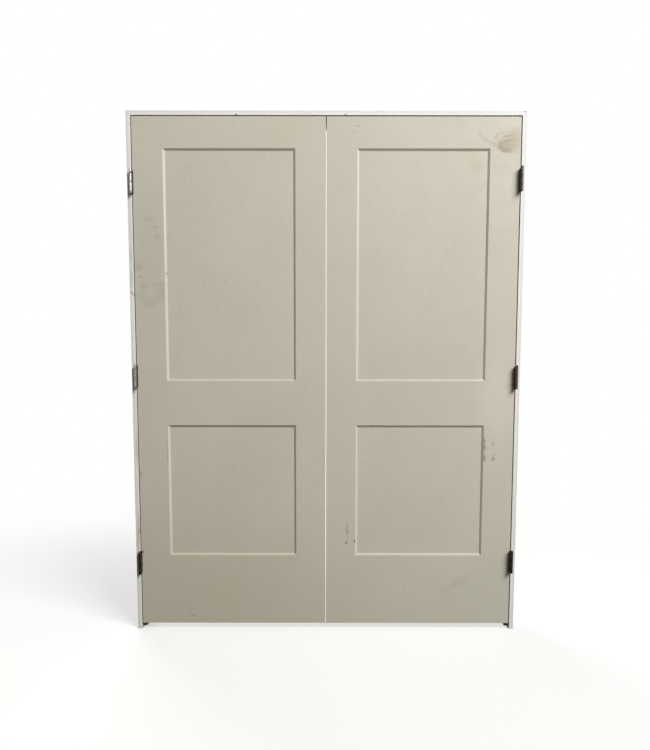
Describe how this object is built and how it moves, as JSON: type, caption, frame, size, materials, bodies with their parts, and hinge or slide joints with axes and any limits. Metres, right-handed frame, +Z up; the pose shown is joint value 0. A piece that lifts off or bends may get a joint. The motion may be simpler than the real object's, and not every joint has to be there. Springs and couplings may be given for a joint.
{
  "type": "double panel door with frame",
  "caption": "Double interior door: moulded panel slabs hung on butt hinges in a flat jamb frame with stops; both doors swing open towards the hinge-pin side.",
  "frame": {"origin": "bottom centre of the unit's bounding box, on the floor midway between the legs", "axes": "+X to the right seen from the hinge-pin side, +Y through the wall away from the hinge pins, +Z up"},
  "size_m": [1.569, 0.1374, 2.0785],
  "materials": {
    "primed_jamb": "white primer, satin, lightly soiled",
    "primed_skin": "warm grey-beige primer on moulded hardboard, eggshell",
    "pine": "planed, unfinished",
    "core_card": "raw",
    "hinge_bronze": "dark oil-rubbed bronze plating, satin",
    "nail_steel": "bright"
  },
  "bodies": {
    "frame": {"left_jamb": "primed_jamb", "right_jamb": "primed_jamb", "head_jamb": "primed_jamb", "head_nails": "nail_steel", "left_stop": "primed_jamb", "right_stop": "primed_jamb", "head_stop": "primed_jamb", "stop_brads": "nail_steel", "left_top_jamb_leaf": "hinge_bronze", "left_middle_jamb_leaf": "hinge_bronze", "left_bottom_jamb_leaf": "hinge_bronze", "right_top_jamb_leaf": "hinge_bronze", "right_middle_jamb_leaf": "hinge_bronze", "right_bottom_jamb_leaf": "hinge_bronze", "left_jamb_screws": "hinge_bronze", "right_jamb_screws": "hinge_bronze", "left_top_pin": "hinge_bronze", "left_middle_pin": "hinge_bronze", "left_bottom_pin": "hinge_bronze", "right_top_pin": "hinge_bronze", "right_middle_pin": "hinge_bronze", "right_bottom_pin": "hinge_bronze", "left_pin_plugs": "hinge_bronze", "right_pin_plugs": "hinge_bronze"},
    "left_door": {"left_door_front_skin": "primed_skin", "left_door_back_skin": "primed_skin", "left_door_hinge_stile": "pine", "left_door_meeting_stile": "pine", "left_door_top_rail": "pine", "left_door_bottom_rail": "pine", "left_door_lock_block": "pine", "left_door_core": "core_card", "left_top_door_leaf": "hinge_bronze", "left_middle_door_leaf": "hinge_bronze", "left_bottom_door_leaf": "hinge_bronze", "left_door_screws": "hinge_bronze"},
    "right_door": {"right_door_front_skin": "primed_skin", "right_door_back_skin": "primed_skin", "right_door_hinge_stile": "pine", "right_door_meeting_stile": "pine", "right_door_top_rail": "pine", "right_door_bottom_rail": "pine", "right_door_lock_block": "pine", "right_door_core": "core_card", "right_top_door_leaf": "hinge_bronze", "right_middle_door_leaf": "hinge_bronze", "right_bottom_door_leaf": "hinge_bronze", "right_door_screws": "hinge_bronze"}
  },
  "joints": [
    {"name": "left_door_swing", "type": "hinge", "parent": "frame", "child": "left_door", "pos_m": [-0.76525, -0.06312, 1.047], "axis": [0, 0, -1], "range_deg": [0, 180]},
    {"name": "right_door_swing", "type": "hinge", "parent": "frame", "child": "right_door", "pos_m": [0.76525, -0.06312, 1.047], "axis": [0, 0, 1], "range_deg": [0, 180]}
  ]
}
